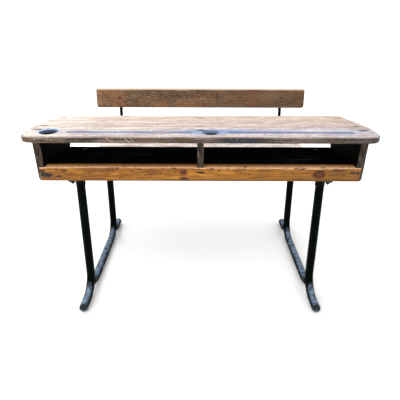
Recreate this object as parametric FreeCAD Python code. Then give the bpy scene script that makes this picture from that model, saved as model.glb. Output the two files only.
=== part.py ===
import FreeCAD, Part
import math
import os

# Two-seat school desk with an attached bench, in millimetres.
# A flat ledge and a gently falling writing slope lie on a shallow book box.  Two bent steel tube
# frames carry the box, the seat and the backrest.  Y is measured from the ledge's outer edge towards
# the bench, X runs along the desk from its middle, and Z is up from the floor.

# Desk top
desk_length = 1200.0
ledge_height = 748.0
ledge_depth = 122.0
board_thickness = 22.0
slope_angle = 6.3
near_board_width = 145.0
far_board_width = 142.0
ledge_corner_radius = 46.0
far_corner_radius = 8.0
top_edge_round = 7.0
under_edge_round = 3.0

# Inkwell holes and pen grooves in the ledge
left_inkwell_inset = 86.0
right_inkwell_past_middle = 35.0
inkwell_setback = 54.0
inkwell_hole_radius = 23.0
inkwell_rebate_radius = 30.0
inkwell_rebate_depth = 5.0
left_groove_inset = 145.0
left_groove_before_middle = 25.0
right_groove_past_middle = 94.0
right_groove_inset = 76.0
groove_setback = 56.0
groove_width = 24.0
groove_depth = 5.5

# Book box under the top
box_side_overhang = 36.0
box_length = desk_length - 2 * box_side_overhang
panel_thickness = 25.0
divider_thickness = 22.0
box_setback = 30.0
box_rake = 5.0
box_height = 153.0
panel_foot_far = 285.0
panel_far_rake = 40.0
panel_foot_round = 11.0
shelf_tilt = 3.0
shelf_thickness = 18.0
shelf_far_edge = 300.0
shelf_above_foot = 7.0
shelf_housing_depth = 8.0
rail_height = 52.0
rail_thickness = 30.0
rail_rebate = 17.0
rail_arris_round = 8.0
rail_arris_stop = 9.0
rail_corner_round = 6.0

# Bent tube frames
frame_inset = 98.0
frame_offset = box_length / 2 - frame_inset
tube_radius = 16.85
tube_wall = 2.0
tube_bend_radius = 75.0
brace_bend_radius = 55.0
front_leg_setback = 171.0
rear_leg_setback = 609.0
front_toe_reach = 136.0
rear_toe_reach = 116.0
front_arm_end = 74.0
rear_arm_end = 287.0
brace_rise = 44.0
brace_run = 37.0
arm_brace_drop = 72.0
arm_brace_run = 44.0
cap_length = 10.0
cap_dome_round = 8.0
cap_plug_length = 4.0
cap_plug_clearance = 0.2

# Seat and backrest
seat_height = 424.0
seat_end_inset = 22.5
seat_length = desk_length - 2 * seat_end_inset
seat_thickness = 22.0
seat_board_width = 148.0
seat_board_gap = 4.0
seat_front_edge = 645.0
seat_edge_round = 6.0
seat_corner_radius = 12.0
seat_arm_end = 977.0
back_lean = 4.0
back_length = desk_length
back_height = 110.0
back_thickness = 20.0
back_rise = 233.5
back_lower_round = 14.0
back_upper_round = 6.0
back_edge_round = 4.0
stay_width = 16.0
stay_thickness = 8.0
stay_end_round = 7.5
stay_foot_radius = 18.0
stay_above_bolt = 30.0

# Fasteners
screw_head_radius = 4.5
screw_head_height = 3.0
screw_shank_radius = 2.2
screw_length = 40.0
screw_recess = 1.0
screw_slot_width = 1.2
screw_slot_depth = 1.3
screw_clearance = 0.2
ledge_screw_setback = 80.0
kink_screw_setback = 18.0
far_screw_setback = 64.0
panel_screw_inset = 9.0
rail_screw_height = 33.0
rail_screw_inset = 9.0
bolt_shank_radius = 4.0
bolt_head_radius = 9.0
bolt_head_height = 4.0
bolt_tail = 3.0
bolt_clearance = 0.25
nut_flats = 13.0
nut_height = 6.5
arm_bolt_inset = 8.5
front_seat_bolt_setback = 50.0
rear_seat_bolt_setback = 110.0
back_bolt_above_middle = 3.0
back_bolt_shank_radius = 3.0
back_bolt_head_radius = 6.5
back_bolt_head_height = 3.2
back_nut_flats = 10.0
back_nut_height = 5.0

# How near an edge lies to the place that picks it out for rounding
pick_margin = 0.1

X_AXIS = FreeCAD.Vector(1, 0, 0)
Y_AXIS = FreeCAD.Vector(0, 1, 0)
Z_AXIS = FreeCAD.Vector(0, 0, 1)
ORIGIN = FreeCAD.Vector(0, 0, 0)
SIDES = {"left": -1, "right": 1}


def sine(angle):
    return math.sin(math.radians(angle))


def cosine(angle):
    return math.cos(math.radians(angle))


def tangent(angle):
    return math.tan(math.radians(angle))


# Heights that several pieces share, as functions of the distance from the ledge's outer edge.

under_ledge = ledge_height - board_thickness
box_foot = under_ledge - box_height


def under_slope(y):
    """Height of the underside of the writing slope."""
    return ledge_height - board_thickness / cosine(slope_angle) - (y - ledge_depth) * tangent(slope_angle)


def box_face(z):
    """The raked front plane of the box: how far back it is at a height."""
    return box_setback + (under_ledge - z) * tangent(box_rake)


def panel_foot(y):
    """Bottom edge of the end panels, parallel to the shelf."""
    return box_foot + (y - box_face(box_foot)) * tangent(shelf_tilt)


def shelf_under(y):
    return panel_foot(y) + shelf_above_foot


def shelf_top(y):
    return shelf_under(y) + shelf_thickness / cosine(shelf_tilt)


def arm_axis(y):
    """Axis of the tube arms that lie against the shelf's underside."""
    return shelf_under(y) - tube_radius / cosine(shelf_tilt)


def slope_point(along, depth):
    """A point of the writing slope: distance along its face from the ledge, and depth below the face."""
    y = ledge_depth + along * cosine(slope_angle) - depth * sine(slope_angle)
    z = ledge_height - along * sine(slope_angle) - depth * cosine(slope_angle)
    return (y, z)


# Shape helpers

def prism(profile, x_low, x_high):
    """Extrude a side profile, a list of (y, z) points, along the desk."""
    points = [FreeCAD.Vector(x_low, y, z) for y, z in profile]
    face = Part.Face(Part.makePolygon(points + [points[0]]))
    return face.extrude(FreeCAD.Vector(x_high - x_low, 0, 0))


def block(x_low, x_high, y_low, y_high, z_low, z_high):
    return Part.makeBox(x_high - x_low, y_high - y_low, z_high - z_low, FreeCAD.Vector(x_low, y_low, z_low))


def round_edges(shape, radius, wanted):
    """Fillet the edges whose two end points and middle pass the test."""
    chosen = []
    for edge in shape.Edges:
        middle = edge.valueAt(edge.getParameterByLength(edge.Length / 2))
        if wanted(edge, middle):
            chosen.append(edge)
    return shape.makeFillet(radius, chosen)


def runs_along(edge, axis):
    direction = edge.Vertexes[-1].Point - edge.Vertexes[0].Point
    return direction.Length > 0 and abs(direction.normalize().dot(axis)) > 0.99


def tilted(shape, angle, place):
    """Turn a shape modelled about the origin round the X axis, then put it in place."""
    turned = shape.copy()
    turned.Placement = FreeCAD.Placement(place, FreeCAD.Rotation(X_AXIS, angle)).multiply(shape.Placement)
    return turned


def bent_rod(points, radius, bend_radius):
    """A round rod of straight runs and tangent bends, all in one plane."""
    pieces = []
    start = points[0]
    for before, corner, after in zip(points, points[1:], points[2:]):
        way_in = (corner - before).normalize()
        way_out = (after - corner).normalize()
        turn = way_in.getAngle(way_out)
        reach = bend_radius * math.tan(turn / 2)
        inward = (way_out - way_in).normalize()
        centre = corner + inward * (bend_radius / math.cos(turn / 2))
        bend_start = corner - way_in * reach
        pieces.append(Part.makeCylinder(radius, start.distanceToPoint(bend_start), start, way_in))
        section = Part.Face(Part.Wire(Part.makeCircle(radius, bend_start, way_in)))
        pieces.append(section.revolve(centre, way_in.cross(way_out).normalize(), math.degrees(turn)))
        start = corner + way_out * reach
    last_run = points[-1] - start
    pieces.append(Part.makeCylinder(radius, last_run.Length, start, last_run))
    return pieces[0].fuse(pieces[1:]).removeSplitter()


def tube(points, bend_radius):
    """A bent tube as its outer rod and its bore."""
    return bent_rod(points, tube_radius, bend_radius), bent_rod(points, tube_radius - tube_wall, bend_radius)


def frame_points(side, profile):
    return [FreeCAD.Vector(SIDES[side] * frame_offset, y, z) for y, z in profile]


# Fasteners, modelled with the seat of the head at the origin and the shank down the Z axis

def wood_screw():
    head = Part.makeCylinder(screw_head_radius, screw_head_height)
    slot = block(-screw_head_radius, screw_head_radius, -screw_slot_width / 2, screw_slot_width / 2,
                 screw_head_height - screw_slot_depth, screw_head_height)
    shank_length = screw_length - screw_head_height
    point_length = 2 * screw_shank_radius
    shank = Part.makeCylinder(screw_shank_radius, shank_length - point_length, ORIGIN, -Z_AXIS)
    point = Part.makeCone(screw_shank_radius, screw_shank_radius / 4, point_length,
                          -Z_AXIS * (shank_length - point_length), -Z_AXIS)
    return head.cut(slot).fuse([shank, point]).removeSplitter()


def wood_screw_hole():
    well = Part.makeCylinder(screw_head_radius + screw_clearance, screw_head_height + 2 * screw_recess)
    pilot = Part.makeCylinder(screw_shank_radius + screw_clearance, screw_length, ORIGIN, -Z_AXIS)
    return well.fuse(pilot)


def dome_bolt(shank_radius, head_radius, head_height, length):
    sphere_radius = (head_radius ** 2 + head_height ** 2) / (2 * head_height)
    ball = Part.makeSphere(sphere_radius, -Z_AXIS * (sphere_radius - head_height))
    head = ball.common(Part.makeCylinder(head_radius, head_height))
    shank = Part.makeCylinder(shank_radius, length, ORIGIN, -Z_AXIS)
    return head.fuse(shank)


def bolt_hole(shank_radius, length):
    return Part.makeCylinder(shank_radius + bolt_clearance, length, ORIGIN, -Z_AXIS)


def hex_nut(across_flats, height, hole_radius):
    corner = across_flats / math.sqrt(3)
    points = [FreeCAD.Vector(corner * cosine(60 * step), corner * sine(60 * step), -height)
              for step in range(7)]
    body = Part.Face(Part.makePolygon(points)).extrude(Z_AXIS * height)
    chamfer = Part.makeCone(corner, corner + height, height, -Z_AXIS * height).common(body)
    return chamfer.cut(Part.makeCylinder(hole_radius, height, ORIGIN, -Z_AXIS))


# Where the fasteners go

def top_screw_places():
    """Three rows across the top, each over both end panels and the divider."""
    outer = box_length / 2 - panel_screw_inset
    sunk = screw_recess + screw_head_height
    rows = [((ledge_screw_setback, ledge_height - sunk), 0.0)]
    for along in (kink_screw_setback, near_board_width + far_screw_setback):
        rows.append((slope_point(along, sunk), -slope_angle))
    places = []
    for (y, z), angle in rows:
        for x in (-outer, 0.0, outer):
            places.append((FreeCAD.Vector(x, y, z), angle))
    return places


def rail_screw_places():
    outer = rail_end() - rail_screw_inset
    sunk = screw_recess + screw_head_height
    y, z = rail_point(rail_screw_height, sunk)
    return [(FreeCAD.Vector(x, y, z), 90.0 - box_rake) for x in (-outer, 0.0, outer)]


def shelf_bolt_places():
    places = []
    inset = cap_length + arm_bolt_inset
    lean = (shelf_thickness + tube_radius) * sine(shelf_tilt)
    for y in (front_arm_end + inset - lean, rear_arm_end - inset - lean):
        for side in SIDES.values():
            places.append((FreeCAD.Vector(side * frame_offset, y, shelf_top(y)), shelf_tilt))
    return places


def seat_bolt_places():
    places = []
    for index, setback in enumerate((front_seat_bolt_setback, rear_seat_bolt_setback)):
        y = seat_board_edge(index) + setback
        for side in SIDES.values():
            places.append((FreeCAD.Vector(side * frame_offset, y, seat_height), 0.0))
    return places


def back_bolt_places():
    y, z = back_point(-back_thickness, back_bolt_rise())
    return [(FreeCAD.Vector(side * frame_offset, y, z), 90.0 - back_lean) for side in SIDES.values()]


def at_places(shape, places):
    return [tilted(shape, angle, place) for place, angle in places]


def seated_nuts(places, grip, nut):
    """Nuts drawn up against the far side of what the bolts clamp."""
    lowered = nut.copy()
    lowered.translate(-Z_AXIS * grip)
    return at_places(lowered, places)


# Points of the raked rail and of the leaning backrest

def rail_end():
    return box_length / 2 - panel_thickness + rail_rebate


def rail_point(height, depth):
    y = box_face(box_foot) - height * sine(box_rake) + depth * cosine(box_rake)
    z = box_foot + height * cosine(box_rake) + depth * sine(box_rake)
    return (y, z)


def seat_arm_axis():
    return seat_height - seat_thickness - tube_radius


def back_point(depth, rise):
    """A point behind the backrest's rear plane by depth, and up that plane by rise."""
    y = seat_arm_end + rise * sine(back_lean) + depth * cosine(back_lean)
    z = seat_arm_axis() + rise * cosine(back_lean) - depth * sine(back_lean)
    return (y, z)


def back_bolt_rise():
    return back_rise + back_height / 2 + back_bolt_above_middle


def seat_board_edge(index):
    return seat_front_edge + index * (seat_board_width + seat_board_gap)


# Desk top

def inkwell_places():
    """Each inkwell is at the left of its writing place."""
    return (left_inkwell_inset - desk_length / 2, right_inkwell_past_middle)


def groove_spans():
    """Each pen groove is at the right of its inkwell."""
    half = desk_length / 2
    return ((left_groove_inset - half, -left_groove_before_middle),
            (right_groove_past_middle, half - right_groove_inset))


def ledge_board():
    half = desk_length / 2
    board = block(-half, half, 0, ledge_depth, under_ledge, ledge_height)
    board = round_edges(board, ledge_corner_radius,
                        lambda edge, middle: runs_along(edge, Z_AXIS) and middle.y < pick_margin)
    board = round_edges(board, top_edge_round,
                        lambda edge, middle: middle.z > ledge_height - pick_margin
                        and middle.y < ledge_depth - pick_margin)
    board = round_edges(board, under_edge_round,
                        lambda edge, middle: middle.z < under_ledge + pick_margin
                        and middle.y < ledge_depth - pick_margin)
    for x in inkwell_places():
        centre = FreeCAD.Vector(x, inkwell_setback, under_ledge)
        board = board.cut(Part.makeCylinder(inkwell_hole_radius, board_thickness, centre))
        rebate_floor = FreeCAD.Vector(x, inkwell_setback, ledge_height - inkwell_rebate_depth)
        board = board.cut(Part.makeCylinder(inkwell_rebate_radius, board_thickness, rebate_floor))
    for x_low, x_high in groove_spans():
        board = board.cut(pen_groove(x_low, x_high))
    return board


def pen_groove(x_low, x_high):
    """A round-bottomed cutter with round ends."""
    cove_radius = ((groove_width / 2) ** 2 + groove_depth ** 2) / (2 * groove_depth)
    axis_height = ledge_height - groove_depth + cove_radius
    start = FreeCAD.Vector(x_low + groove_width / 2, groove_setback, axis_height)
    length = x_high - x_low - groove_width
    barrel = Part.makeCylinder(cove_radius, length, start, X_AXIS)
    ends = [Part.makeSphere(cove_radius, start), Part.makeSphere(cove_radius, start + X_AXIS * length)]
    return barrel.fuse(ends)


def writing_board_near():
    profile = [(ledge_depth, ledge_height), (ledge_depth, under_slope(ledge_depth)),
               slope_point(near_board_width, board_thickness), slope_point(near_board_width, 0)]
    board = prism(profile, -desk_length / 2, desk_length / 2)
    return round_board_ends(board, ledge_depth + near_board_width / 2)


def writing_board_far():
    width = near_board_width + far_board_width
    profile = [slope_point(near_board_width, 0), slope_point(near_board_width, board_thickness),
               slope_point(width, board_thickness), slope_point(width, 0)]
    board = prism(profile, -desk_length / 2, desk_length / 2)
    far_y = slope_point(width, board_thickness)[0]
    board = round_edges(board, far_corner_radius,
                        lambda edge, middle: edge.Length < 2 * board_thickness
                        and middle.y > far_y - pick_margin)
    top_face = [face for face in board.Faces if face.normalAt(0, 0).z > 0.9][0]
    under_face = [face for face in board.Faces if face.normalAt(0, 0).z < -0.9][0]
    join_y = slope_point(near_board_width, 0)[0]
    for face, radius in ((top_face, top_edge_round), (under_face, under_edge_round)):
        rim = [edge.CenterOfMass for edge in face.Edges if edge.CenterOfMass.y > join_y + pick_margin]
        board = round_edges(board, radius,
                            lambda edge, middle: any((edge.CenterOfMass - spot).Length < pick_margin
                                                     for spot in rim))
    return board


def round_board_ends(board, split_y):
    """Ease the two end arrises of a board that runs the length of the desk."""
    half = desk_length / 2
    middle_height = under_slope(split_y) + board_thickness / 2

    def is_end(edge, middle):
        return abs(abs(middle.x) - half) < pick_margin and abs(middle.y - split_y) < near_board_width / 4

    board = round_edges(board, top_edge_round,
                        lambda edge, middle: is_end(edge, middle) and middle.z > middle_height)
    return round_edges(board, under_edge_round,
                       lambda edge, middle: is_end(edge, middle) and middle.z < middle_height)


# Book box

def box_profile(bottom):
    """Side outline of the box's upright boards, down to a bottom edge given as a function of y."""
    low = bottom(box_face(box_foot))
    rake = tangent(panel_far_rake)
    far_low_y = panel_foot_far + (bottom(panel_foot_far) - panel_foot(panel_foot_far)) * rake
    far_low_z = bottom(far_low_y)
    far_top_y = (far_low_y + (under_slope(0) - far_low_z) * rake) / (1 + rake * tangent(slope_angle))
    return [(box_face(low), low), (box_face(under_ledge), under_ledge), (ledge_depth, under_ledge),
            (ledge_depth, under_slope(ledge_depth)), (far_top_y, under_slope(far_top_y)),
            (far_low_y, far_low_z)]


def end_panel(side, rail, shelf):
    inner = box_length / 2 - panel_thickness
    outer = box_length / 2
    x_low, x_high = (inner, outer) if SIDES[side] > 0 else (-outer, -inner)
    panel = prism(box_profile(panel_foot), x_low, x_high)
    panel = round_edges(panel, panel_foot_round,
                        lambda edge, middle: abs(abs(middle.x) - outer) < pick_margin
                        and abs(middle.z - panel_foot(middle.y)) < pick_margin
                        and middle.y < panel_foot_far - pick_margin)
    return panel.cut([rail, shelf])


def centre_divider(rail):
    half = divider_thickness / 2
    return prism(box_profile(shelf_top), -half, half).cut(rail)


def book_shelf(rail):
    half = box_length / 2 - panel_thickness + shelf_housing_depth
    near = box_face(box_foot)
    drop = sine(shelf_tilt) * shelf_thickness
    profile = [(near, shelf_under(near)), (near, shelf_top(near)),
               (shelf_far_edge - drop, shelf_top(shelf_far_edge - drop)),
               (shelf_far_edge, shelf_under(shelf_far_edge))]
    board = prism(profile, -half, half)
    front_waste = prism([rail_point(-box_height, rail_thickness), rail_point(box_height, rail_thickness),
                         rail_point(box_height, -box_height), rail_point(-box_height, -box_height)],
                        -half, half)
    return board.cut(front_waste)


def book_rail():
    profile = [rail_point(0, 0), rail_point(rail_height, 0),
               rail_point(rail_height, rail_thickness), rail_point(0, rail_thickness)]
    rail = prism(profile, -rail_end(), rail_end())
    return round_edges(rail, rail_corner_round,
                       lambda edge, middle: abs(abs(middle.x) - rail_end()) < pick_margin
                       and abs(edge.Length - rail_thickness) < pick_margin
                       and middle.z < box_foot + rail_height / 2)


def stopped_arris(rail):
    """Round the rail's upper front arris in each bay, stopping short of the uprights."""
    inner = box_length / 2 - panel_thickness
    for side in SIDES.values():
        stops = (side * (divider_thickness / 2 + rail_arris_stop), side * (inner - rail_arris_stop))
        low, high = sorted(stops)
        corner = [rail_point(rail_height, 0), rail_point(rail_height, rail_arris_round),
                  rail_point(rail_height - rail_arris_round, rail_arris_round),
                  rail_point(rail_height - rail_arris_round, 0)]
        y, z = corner[2]
        keep = Part.makeCylinder(rail_arris_round, high - low, FreeCAD.Vector(low, y, z), X_AXIS)
        rail = rail.cut(prism(corner, low, high).cut(keep))
    return rail


# Tube frames

def front_leg_profile():
    toe = front_leg_setback - front_toe_reach + cap_length
    end = front_arm_end + cap_length
    return [(toe, tube_radius), (front_leg_setback, tube_radius),
            (front_leg_setback, arm_axis(front_leg_setback)), (end, arm_axis(end))]


def rear_arm_profile():
    corner = front_leg_setback + arm_brace_run
    end = rear_arm_end - cap_length
    return [(front_leg_setback, arm_axis(corner) - arm_brace_drop), (corner, arm_axis(corner)),
            (end, arm_axis(end))]


def runner_profile():
    corner = front_leg_setback + brace_run
    return [(front_leg_setback, tube_radius + brace_rise), (corner, tube_radius),
            (rear_leg_setback, tube_radius), (rear_leg_setback, seat_arm_axis()),
            (seat_arm_end + tube_radius, seat_arm_axis())]


def rear_toe_profile():
    corner = rear_leg_setback + brace_run
    end = rear_leg_setback + rear_toe_reach - cap_length
    return [(rear_leg_setback, tube_radius + brace_rise), (corner, tube_radius), (end, tube_radius)]


def end_cap(side, profile, at_start):
    """A plug with a domed head that closes a tube's end."""
    dome_flat = tube_radius - cap_dome_round
    outline = [FreeCAD.Vector(0, 0, -cap_plug_length),
               FreeCAD.Vector(tube_radius - tube_wall - cap_plug_clearance, 0, -cap_plug_length),
               FreeCAD.Vector(tube_radius - tube_wall - cap_plug_clearance, 0, 0),
               FreeCAD.Vector(tube_radius, 0, 0),
               FreeCAD.Vector(tube_radius, 0, cap_length - cap_dome_round)]
    dome_middle = FreeCAD.Vector(dome_flat + cap_dome_round * cosine(45), 0,
                                 cap_length - cap_dome_round + cap_dome_round * sine(45))
    dome_end = FreeCAD.Vector(dome_flat, 0, cap_length)
    edges = [Part.makeLine(first, second) for first, second in zip(outline, outline[1:])]
    edges.append(Part.Arc(outline[-1], dome_middle, dome_end).toShape())
    edges.append(Part.makeLine(dome_end, Z_AXIS * cap_length))
    edges.append(Part.makeLine(Z_AXIS * cap_length, outline[0]))
    cap = Part.Face(Part.Wire(edges)).revolve(ORIGIN, Z_AXIS, 360)
    points = frame_points(side, profile)
    end, inner = (points[0], points[1]) if at_start else (points[-1], points[-2])
    cap.Placement = FreeCAD.Placement(end, FreeCAD.Rotation(Z_AXIS, end - inner))
    return cap


# Seat and backrest

def seat_board(index):
    half = seat_length / 2
    low = seat_board_edge(index)
    under = seat_height - seat_thickness
    board = block(-half, half, low, low + seat_board_width, under, seat_height)
    free_edge = low if index == 0 else low + seat_board_width
    board = round_edges(board, seat_corner_radius,
                        lambda edge, middle: runs_along(edge, Z_AXIS)
                        and abs(middle.y - free_edge) < pick_margin)
    joint_edge = low + seat_board_width - free_edge + low
    return round_edges(board, seat_edge_round,
                       lambda edge, middle: middle.z > seat_height - pick_margin
                       and abs(middle.y - joint_edge) > pick_margin)


def backrest_board():
    half = back_length / 2
    board = block(-half, half, -back_thickness, 0, back_rise, back_rise + back_height)
    for radius, level in ((back_lower_round, back_rise), (back_upper_round, back_rise + back_height)):
        board = round_edges(board, radius,
                            lambda edge, middle: runs_along(edge, Y_AXIS)
                            and abs(middle.z - level) < pick_margin)
    board = round_edges(board, back_edge_round, lambda edge, middle: middle.y < pick_margin - back_thickness)
    return leaning(board)


def back_stay(side):
    x = SIDES[side] * frame_offset
    top = back_bolt_rise() + stay_above_bolt
    bar = block(x - stay_width / 2, x + stay_width / 2, 0, stay_thickness, 0, top)
    bar = round_edges(bar, stay_end_round,
                      lambda edge, middle: runs_along(edge, Y_AXIS) and middle.z > top - pick_margin)
    foot = Part.makeCylinder(stay_foot_radius, stay_thickness, FreeCAD.Vector(x, 0, 0), Y_AXIS)
    return leaning(bar.fuse(foot).removeSplitter())


def leaning(shape):
    """Lean a piece modelled upright about the end of the seat arm."""
    return tilted(shape, -back_lean, FreeCAD.Vector(0, seat_arm_end, seat_arm_axis()))


def behind_stay():
    """Everything behind the stays' front plane, which trims the seat arms."""
    waste = block(-desk_length, desk_length, 0, 10 * tube_radius, -4 * tube_radius, 4 * tube_radius)
    return leaning(waste)


# Assembly

def build():
    rail_stock = book_rail()
    shelf = book_shelf(rail_stock)
    parts = {
        "ledge_board": ledge_board(),
        "writing_board_near": writing_board_near(),
        "writing_board_far": writing_board_far(),
        "centre_divider": centre_divider(rail_stock),
        "book_shelf": shelf,
        "book_rail": stopped_arris(rail_stock),
        "seat_board_front": seat_board(0),
        "seat_board_rear": seat_board(1),
        "backrest_board": backrest_board(),
    }
    caps = []
    for side in SIDES:
        parts["end_panel_" + side] = end_panel(side, rail_stock, shelf)
        leg_rod, leg_bore = tube(frame_points(side, front_leg_profile()), tube_bend_radius)
        run_rod, run_bore = tube(frame_points(side, runner_profile()), tube_bend_radius)
        arm_rod, arm_bore = tube(frame_points(side, rear_arm_profile()), brace_bend_radius)
        toe_rod, toe_bore = tube(frame_points(side, rear_toe_profile()), brace_bend_radius)
        parts["front_leg_" + side] = leg_rod.cut(leg_bore)
        parts["runner_leg_" + side] = run_rod.cut([run_bore, leg_rod, behind_stay()])
        parts["rear_arm_" + side] = arm_rod.cut([arm_bore, leg_rod])
        parts["rear_toe_" + side] = toe_rod.cut([toe_bore, run_rod])
        parts["back_stay_" + side] = back_stay(side)
        caps.append(end_cap(side, front_leg_profile(), True))
        caps.append(end_cap(side, front_leg_profile(), False))
        caps.append(end_cap(side, rear_arm_profile(), False))
        caps.append(end_cap(side, rear_toe_profile(), False))
    parts["tube_caps"] = Part.Compound(caps)
    add_wood_screws(parts)
    add_bolts(parts)
    return parts


def drill(parts, names, cutters):
    for name in names:
        parts[name] = parts[name].cut(cutters)


def add_wood_screws(parts):
    uprights = ["end_panel_left", "end_panel_right", "centre_divider"]
    top_places = top_screw_places()
    rail_places = rail_screw_places()
    drill(parts, uprights + ["ledge_board", "writing_board_near", "writing_board_far"],
          at_places(wood_screw_hole(), top_places))
    drill(parts, uprights + ["book_rail"], at_places(wood_screw_hole(), rail_places))
    parts["top_screws"] = Part.Compound(at_places(wood_screw(), top_places))
    parts["rail_screws"] = Part.Compound(at_places(wood_screw(), rail_places))


def add_bolts(parts):
    shelf_grip = shelf_thickness + 2 * tube_radius
    seat_grip = seat_thickness + 2 * tube_radius
    back_grip = back_thickness + stay_thickness
    nut = hex_nut(nut_flats, nut_height, bolt_shank_radius)
    back_nut = hex_nut(back_nut_flats, back_nut_height, back_bolt_shank_radius)
    frame_nuts = []
    sets = (("shelf_bolts", shelf_bolt_places(), shelf_grip, ("book_shelf", "front_leg", "rear_arm")),
            ("seat_bolts", seat_bolt_places(), seat_grip, ("seat_board", "runner_leg")))
    for name, places, grip, through in sets:
        length = grip + nut_height + bolt_tail
        bolt = dome_bolt(bolt_shank_radius, bolt_head_radius, bolt_head_height, length)
        holes = at_places(bolt_hole(bolt_shank_radius, length), places)
        drill(parts, [part for part in parts if part.startswith(through)], holes)
        parts[name] = Part.Compound(at_places(bolt, places))
        frame_nuts += seated_nuts(places, grip, nut)
    parts["frame_nuts"] = Part.Compound(frame_nuts)
    places = back_bolt_places()
    length = back_grip + back_nut_height + bolt_tail
    bolt = dome_bolt(back_bolt_shank_radius, back_bolt_head_radius, back_bolt_head_height, length)
    drill(parts, ["backrest_board", "back_stay_left", "back_stay_right"],
          at_places(bolt_hole(back_bolt_shank_radius, length), places))
    parts["backrest_bolts"] = Part.Compound(at_places(bolt, places))
    parts["backrest_nuts"] = Part.Compound(seated_nuts(places, back_grip, back_nut))


def export(parts):
    """Move the origin to the floor under the middle of the desk's footprint, and write every piece."""
    os.makedirs("parts", exist_ok=True)
    bounds = Part.Compound(list(parts.values())).optimalBoundingBox(False)
    shift = FreeCAD.Vector(0, -bounds.Center.y, 0)
    for name, shape in parts.items():
        shape.translate(shift)
        shape.exportStep("parts/" + name + ".step")


export(build())
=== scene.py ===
import math

import bpy
from mathutils import Matrix, Vector


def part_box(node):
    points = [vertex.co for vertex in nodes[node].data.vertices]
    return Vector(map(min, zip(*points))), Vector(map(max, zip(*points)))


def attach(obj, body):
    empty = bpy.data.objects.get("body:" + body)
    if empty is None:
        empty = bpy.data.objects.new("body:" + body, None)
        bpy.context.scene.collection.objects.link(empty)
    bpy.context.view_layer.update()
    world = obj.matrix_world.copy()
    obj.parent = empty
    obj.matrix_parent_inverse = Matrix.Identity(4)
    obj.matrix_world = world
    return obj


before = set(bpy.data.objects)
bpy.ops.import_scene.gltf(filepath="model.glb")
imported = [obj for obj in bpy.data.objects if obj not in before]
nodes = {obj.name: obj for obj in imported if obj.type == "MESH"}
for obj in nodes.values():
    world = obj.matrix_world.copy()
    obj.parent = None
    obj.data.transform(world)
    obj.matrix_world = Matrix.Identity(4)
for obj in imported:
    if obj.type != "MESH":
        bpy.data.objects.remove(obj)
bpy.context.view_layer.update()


# ---------------------------------------------------------------------------------------------
# Tube frames.  Each end of the desk stands on cold-bent round steel tube: a front leg with its toe,
# a runner that turns up into the rear leg and the seat arm, short braces, and a flat bar stay for the
# backrest.  All of it was brush painted almost black, and shoes have worn it thin near the floor.

MM = 0.001


def linear(colour):
    """An sRGB hex colour as linear red, green, blue and alpha."""
    channels = [int(colour[start:start + 2], 16) / 255 for start in (1, 3, 5)]
    return tuple(c / 12.92 if c <= 0.04045 else ((c + 0.055) / 1.055) ** 2.4 for c in channels) + (1.0,)


def add(tree, kind, inputs=None, stops=(), **settings):
    """Add a node.  Inputs gives a socket a value, a hex colour, another node's output, or a node, which
    stands for its first output in use.  Stops are the places and colours of a ramp."""
    made = tree.nodes.new(kind)
    for name, value in settings.items():
        setattr(made, name, value)
    for key, value in (inputs or {}).items():
        if isinstance(value, bpy.types.Node):
            value = next(output for output in value.outputs if output.enabled)
        if isinstance(value, bpy.types.NodeSocket):
            tree.links.new(value, made.inputs[key])
        else:
            made.inputs[key].default_value = linear(value) if str(value).startswith("#") else value
    for index, (position, colour) in enumerate(stops):
        if index > 1:
            made.color_ramp.elements.new(position)
        made.color_ramp.elements[index].position = position
        made.color_ramp.elements[index].color = linear(colour)
    return made


def new_finish(name):
    """A material with an empty node tree, and that tree."""
    material = bpy.data.materials.new(name)
    material.use_nodes = True
    material.node_tree.nodes.clear()
    return material, material.node_tree


def stretched_noise(tree, place, cells, detail=3.0, roughness=0.5):
    """Noise with its own number of cells in a metre along each axis, fewest along the grain."""
    stretched = add(tree, "ShaderNodeVectorMath", {0: place, 1: cells}, operation="MULTIPLY")
    return add(tree, "ShaderNodeTexNoise",
               {"Vector": stretched, "Scale": 1.0, "Detail": detail, "Roughness": roughness})


def facing(tree):
    """The way that the surface faces, as its X, Y and Z."""
    normal = add(tree, "ShaderNodeNewGeometry").outputs["Normal"]
    return add(tree, "ShaderNodeSeparateXYZ", {"Vector": normal}).outputs


def layered(tree, body, *coats):
    """Lay coats of colour over a body, one after another.  Each coat gives its colour, a measure, the
    measure's value where the coat is absent and where it is full, how much it covers where it is full,
    and any masks that limit it."""
    for colour, measure, absent, full, most, *limits in coats:
        mask = add(tree, "ShaderNodeMapRange",
                   {"Value": measure, "From Min": absent, "From Max": full, "To Max": most})
        for limit in limits:
            mask = add(tree, "ShaderNodeMath", {0: mask, 1: limit}, operation="MULTIPLY")
        body = add(tree, "ShaderNodeMix", {0: mask, 6: body, 7: colour}, data_type="RGBA")
    return body


def skin(tree, height, strength, relief, shine):
    """End a tree with the surface itself.  Shine holds its colour, roughness and the like, and relief
    is how deep its bumps are, in metres."""
    bump = add(tree, "ShaderNodeBump", {"Height": height, "Strength": strength, "Distance": relief})
    shader = add(tree, "ShaderNodeBsdfPrincipled", {"Normal": bump, **shine})
    add(tree, "ShaderNodeOutputMaterial", {"Surface": shader})


def dress(names, material):
    """Put the material in every slot of the named nodes."""
    for name in names:
        for slot in nodes[name].material_slots:
            slot.material = material


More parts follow.
